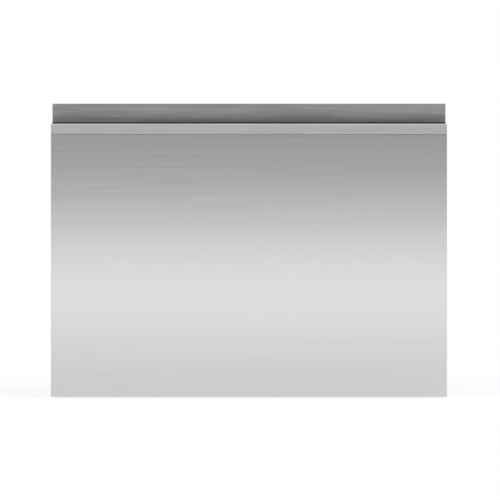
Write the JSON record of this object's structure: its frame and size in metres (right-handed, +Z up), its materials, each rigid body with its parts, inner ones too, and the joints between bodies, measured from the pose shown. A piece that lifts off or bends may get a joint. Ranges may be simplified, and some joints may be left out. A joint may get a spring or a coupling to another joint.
{
  "type": "dishwasher drawer",
  "caption": "Built-in dishwasher drawer: brushed steel front with a recessed handle, sliding tub with racks, spray arm and motor, closing lid and steel chassis.",
  "frame": {"origin": "centre of the bounding box's bottom face, on the floor under the feet", "axes": "+X to the right seen from the front, -Y towards the person who opens the drawer, +Z up"},
  "size_m": [0.599, 0.573, 0.4465],
  "materials": {
    "chassis_steel": "galvanised sheet, fine spangle",
    "front_steel": "fine satin grain along the width",
    "rail_steel": "brushed along the width",
    "recess_steel": "darker brushed steel",
    "screw_steel": "zinc plated",
    "slide_steel": "zinc plated and lightly oiled",
    "heater_steel": "satin stainless",
    "shaft_steel": "ground and polished",
    "motor_steel": "grey coated",
    "winding_copper": "enamelled copper",
    "tub_plastic": "light grey moulding, half gloss",
    "inner_plastic": "mid grey moulding",
    "lid_plastic": "white moulding",
    "tray_plastic": "dark grey moulding",
    "dark_plastic": "black moulding with a fine texture",
    "white_plastic": "white moulding",
    "grip_plastic": "soft black moulding",
    "fascia_plastic": "glossy black cover",
    "button_plastic": "metallised",
    "board_plastic": "green lacquered board",
    "link_plastic": "grey moulding",
    "filter_plastic": "grey blue moulding",
    "arm_plastic": "grey blue moulding",
    "gear_plastic": "natural white moulding",
    "dispenser_plastic": "grey moulding",
    "flap_plastic": "light grey moulding",
    "cap_plastic": "blue moulding",
    "rack_coating": "grey nylon coated bars",
    "tine_coating": "blue grey nylon coated wire",
    "basket_plastic": "blue grey moulding",
    "foot_plastic": "black moulding on a steel stud",
    "rubber_black": "matt rubber",
    "rubber_grey": "matt grey rubber",
    "hose_rubber": "matt hose",
    "felt": "dense sound damping felt"
  },
  "bodies": {
    "chassis": {"side_panel_left": "chassis_steel", "side_panel_right": "chassis_steel", "top_panel": "chassis_steel", "rear_panel": "chassis_steel", "base_tray": "tray_plastic", "front_crossbar": "chassis_steel", "slide_outer_left": "slide_steel", "slide_outer_right": "slide_steel", "lid_actuator_left": "dark_plastic", "lid_actuator_right": "dark_plastic", "inlet_valve": "white_plastic", "drain_spigot": "dark_plastic", "cord_gland": "rubber_black", "control_module": "dark_plastic", "chassis_screws": "screw_steel", "door_gasket": "rubber_black", "levelling_feet": "foot_plastic"},
    "drawer": {"front_skin": "front_steel", "handle_rail": "rail_steel", "grip_liner": "grip_plastic", "recess_panel": "recess_steel", "front_insulation": "felt", "front_inner": "inner_plastic", "control_housing": "inner_plastic", "control_fascia": "fascia_plastic", "control_board": "board_plastic", "tub": "tub_plastic", "slide_inner_left": "slide_steel", "slide_inner_right": "slide_steel", "filter_plate": "filter_plastic", "motor_housing": "motor_steel", "motor_stator": "winding_copper", "rotor_shaft": "shaft_steel", "heater_plate": "heater_steel", "drain_pump": "dark_plastic", "dispenser_body": "dispenser_plastic", "base_rack": "rack_coating", "cutlery_basket": "basket_plastic"},
    "lid": {"lid": "lid_plastic", "lid_seal": "rubber_grey"},
    "lid_pinion_left": {"lid_pinion_left": "gear_plastic"},
    "lid_pinion_right": {"lid_pinion_right": "gear_plastic"},
    "slide_middle_left": {"slide_middle_left": "slide_steel"},
    "slide_middle_right": {"slide_middle_right": "slide_steel"},
    "link_chassis": {"link_arm_chassis": "link_plastic", "link_hose_chassis": "hose_rubber"},
    "link_tub": {"link_arm_tub": "link_plastic", "link_hose_tub": "hose_rubber"},
    "button_power": {"button_power": "button_plastic"},
    "button_program": {"button_program": "button_plastic"},
    "button_start": {"button_start": "button_plastic"},
    "wash_rotor": {"wash_rotor": "gear_plastic"},
    "spray_arm": {"spray_arm": "arm_plastic"},
    "dispenser_flap": {"dispenser_flap": "flap_plastic"},
    "rinse_cap": {"rinse_cap": "cap_plastic"},
    "drain_filter": {"drain_filter": "cap_plastic"},
    "tine_row_left": {"tine_row_left": "tine_coating"},
    "tine_row_right": {"tine_row_right": "tine_coating"},
    "cup_rack_left": {"cup_rack_left": "tine_coating"},
    "cup_rack_right": {"cup_rack_right": "tine_coating"}
  },
  "joints": [
    {"name": "drawer_slide", "type": "slide", "parent": "chassis", "child": "drawer", "axis": [0, -1, 0], "range_m": [0, 0.48]},
    {"name": "slide_middle_left_run", "type": "slide", "parent": "chassis", "child": "slide_middle_left", "axis": [0, -1, 0], "range_m": [0, 0.24]},
    {"name": "slide_middle_right_run", "type": "slide", "parent": "chassis", "child": "slide_middle_right", "axis": [0, -1, 0], "range_m": [0, 0.24]},
    {"name": "link_chassis_pivot", "type": "hinge", "parent": "chassis", "child": "link_chassis", "pos_m": [-0.23, 0.2669, 0.048], "axis": [0, 0, -1], "range_deg": [0, 31.27]},
    {"name": "link_tub_pivot", "type": "hinge", "parent": "drawer", "child": "link_tub", "pos_m": [-0.23, 0.2389, 0.072], "axis": [0, 0, 1], "range_deg": [0, 31.27]},
    {"name": "lid_lift", "type": "slide", "parent": "chassis", "child": "lid", "axis": [0, 0, -1], "range_m": [0, 0.008]},
    {"name": "lid_pinion_left_spin", "type": "hinge", "parent": "chassis", "child": "lid_pinion_left", "pos_m": [-0.277, 0.016, 0.4025], "axis": [1, 0, 0], "range_deg": [0, 38.2]},
    {"name": "lid_pinion_right_spin", "type": "hinge", "parent": "chassis", "child": "lid_pinion_right", "pos_m": [0.277, 0.016, 0.4025], "axis": [1, 0, 0], "range_deg": [0, 38.2]},
    {"name": "button_power_press", "type": "slide", "parent": "drawer", "child": "button_power", "axis": [0, 0, -1], "range_m": [0, 0.001], "stiffness_N_per_m": 300, "springref_m": -0.001},
    {"name": "button_program_press", "type": "slide", "parent": "drawer", "child": "button_program", "axis": [0, 0, -1], "range_m": [0, 0.001], "stiffness_N_per_m": 300, "springref_m": -0.001},
    {"name": "button_start_press", "type": "slide", "parent": "drawer", "child": "button_start", "axis": [0, 0, -1], "range_m": [0, 0.001], "stiffness_N_per_m": 300, "springref_m": -0.001},
    {"name": "wash_rotor_spin", "type": "hinge", "parent": "drawer", "child": "wash_rotor", "pos_m": [0, -0.004, 0.0875], "axis": [0, 0, 1], "continuous": true},
    {"name": "spray_arm_spin", "type": "hinge", "parent": "drawer", "child": "spray_arm", "pos_m": [0, -0.004, 0.128], "axis": [0, 0, 1], "continuous": true},
    {"name": "dispenser_flap_hinge", "type": "hinge", "parent": "drawer", "child": "dispenser_flap", "pos_m": [-0.034, -0.208, 0.3072], "axis": [-1, 0, 0], "range_deg": [0, 95]},
    {"name": "rinse_cap_turn", "type": "hinge", "parent": "drawer", "child": "rinse_cap", "pos_m": [0.038, -0.2115, 0.3262], "axis": [0, -1, 0], "range_deg": [0, 90]},
    {"name": "drain_filter_turn", "type": "hinge", "parent": "drawer", "child": "drain_filter", "pos_m": [0, 0.069, 0.1075], "axis": [0, 0, 1], "range_deg": [0, 90]},
    {"name": "tine_row_left_fold", "type": "hinge", "parent": "drawer", "child": "tine_row_left", "pos_m": [-0.06, 0.05201, 0.1505], "axis": [0, -1, 0], "range_deg": [0, 85]},
    {"name": "tine_row_right_fold", "type": "hinge", "parent": "drawer", "child": "tine_row_right", "pos_m": [0.1, 0.05201, 0.1505], "axis": [0, -1, 0], "range_deg": [0, 85]},
    {"name": "cup_rack_left_fold", "type": "hinge", "parent": "drawer", "child": "cup_rack_left", "pos_m": [-0.23453, 0.05201, 0.249], "axis": [0, -1, 0], "range_deg": [0, 80]},
    {"name": "cup_rack_right_fold", "type": "hinge", "parent": "drawer", "child": "cup_rack_right", "pos_m": [0.23453, 0.05201, 0.249], "axis": [0, 1, 0], "range_deg": [0, 80]}
  ],
  "couplings": [
    {"joint": "slide_middle_left_run", "follows": "drawer_slide", "ratio": 0.5},
    {"joint": "slide_middle_right_run", "follows": "drawer_slide", "ratio": 0.5},
    {"joint": "link_chassis_pivot", "follows": "drawer_slide", "rad_per_m": 1.137},
    {"joint": "link_tub_pivot", "follows": "drawer_slide", "rad_per_m": 1.137},
    {"joint": "lid_pinion_left_spin", "follows": "lid_lift", "rad_per_m": 83.333},
    {"joint": "lid_pinion_right_spin", "follows": "lid_lift", "rad_per_m": 83.333}
  ]
}
